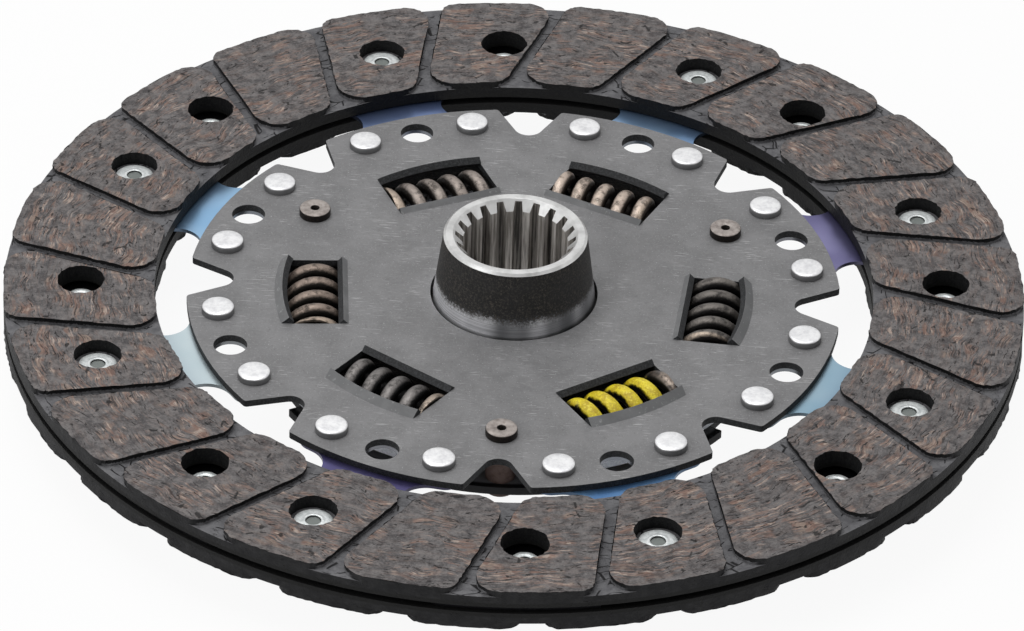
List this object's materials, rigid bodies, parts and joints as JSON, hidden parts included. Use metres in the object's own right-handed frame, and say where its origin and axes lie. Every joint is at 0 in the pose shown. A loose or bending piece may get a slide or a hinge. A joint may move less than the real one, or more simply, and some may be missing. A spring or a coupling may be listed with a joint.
{
  "type": "clutch disc",
  "caption": "Sprung clutch disc: grooved friction facings riveted to cushion segments, windowed damper plates with coil springs and a splined hub.",
  "frame": {"origin": "on the disc's axis, in the mid-plane of the cushion segments", "axes": "+Z along the hub's bore towards its long collar; +Y through a notch of the carrier plate"},
  "size_m": [0.19, 0.19, 0.0285],
  "materials": {
    "friction_lining": "matt moulded friction compound, brown grey with copper-coloured fibres",
    "zinc_rivet": "bright zinc",
    "bright_rivet": "satin zinc",
    "phosphated_sheet": "dark grey phosphate, finely scratched",
    "retainer_sheet": "grey phosphate",
    "pin_steel": "bare steel, brown at the side",
    "hub_steel": "dark oxide with bright turned end face",
    "friction_ring": "matt",
    "spring_steel": "satin",
    "bush_plastic": "matt",
    "segment_violet": "tempered spring steel, violet",
    "segment_blue": "tempered spring steel, blue",
    "segment_pale": "tempered spring steel, pale blue",
    "segment_teal": "tempered spring steel, pale grey blue",
    "coil_tan": "oiled spring wire, tan grey",
    "coil_brown": "oiled spring wire, brown",
    "coil_grey": "grey spring wire",
    "coil_yellow": "yellow colour mark on spring wire",
    "coil_dark": "dark oiled spring wire"
  },
  "bodies": {
    "disc": {"upper_facing": "friction_lining", "lower_facing": "friction_lining", "cushion_segment_1": "segment_violet", "cushion_segment_2": "segment_blue", "cushion_segment_3": "segment_blue", "cushion_segment_4": "segment_pale", "cushion_segment_5": "segment_teal", "cushion_segment_6": "segment_violet", "cushion_segment_7": "segment_blue", "cushion_segment_8": "segment_pale", "upper_facing_rivets": "zinc_rivet", "lower_facing_rivets": "zinc_rivet", "segment_rivets": "bright_rivet", "carrier_plate": "phosphated_sheet", "retainer_plate": "retainer_sheet", "stop_pins": "pin_steel", "friction_ring_upper": "friction_ring", "friction_ring_lower": "friction_ring", "diaphragm_spring": "spring_steel", "centring_bush": "bush_plastic"},
    "hub": {"hub": "hub_steel"},
    "springs": {"damper_spring_1": "coil_tan", "damper_spring_2": "coil_tan", "damper_spring_3": "coil_brown", "damper_spring_4": "coil_grey", "damper_spring_5": "coil_yellow", "damper_spring_6": "coil_dark"}
  },
  "joints": [
    {"name": "damper_twist", "type": "hinge", "parent": "disc", "child": "hub", "pos_m": [0, 0, 0], "axis": [0, 0, 1], "range_deg": [-7, 7], "stiffness_Nm_per_rad": 20, "deforming": ["damper_spring_1", "damper_spring_2", "damper_spring_3", "damper_spring_4", "damper_spring_5", "damper_spring_6"]},
    {"name": "springs_follow", "type": "hinge", "parent": "disc", "child": "springs", "pos_m": [0, 0, 0], "axis": [0, 0, 1], "range_deg": [-3.5, 3.5]}
  ],
  "couplings": [
    {"joint": "springs_follow", "follows": "damper_twist", "ratio": 0.5}
  ]
}
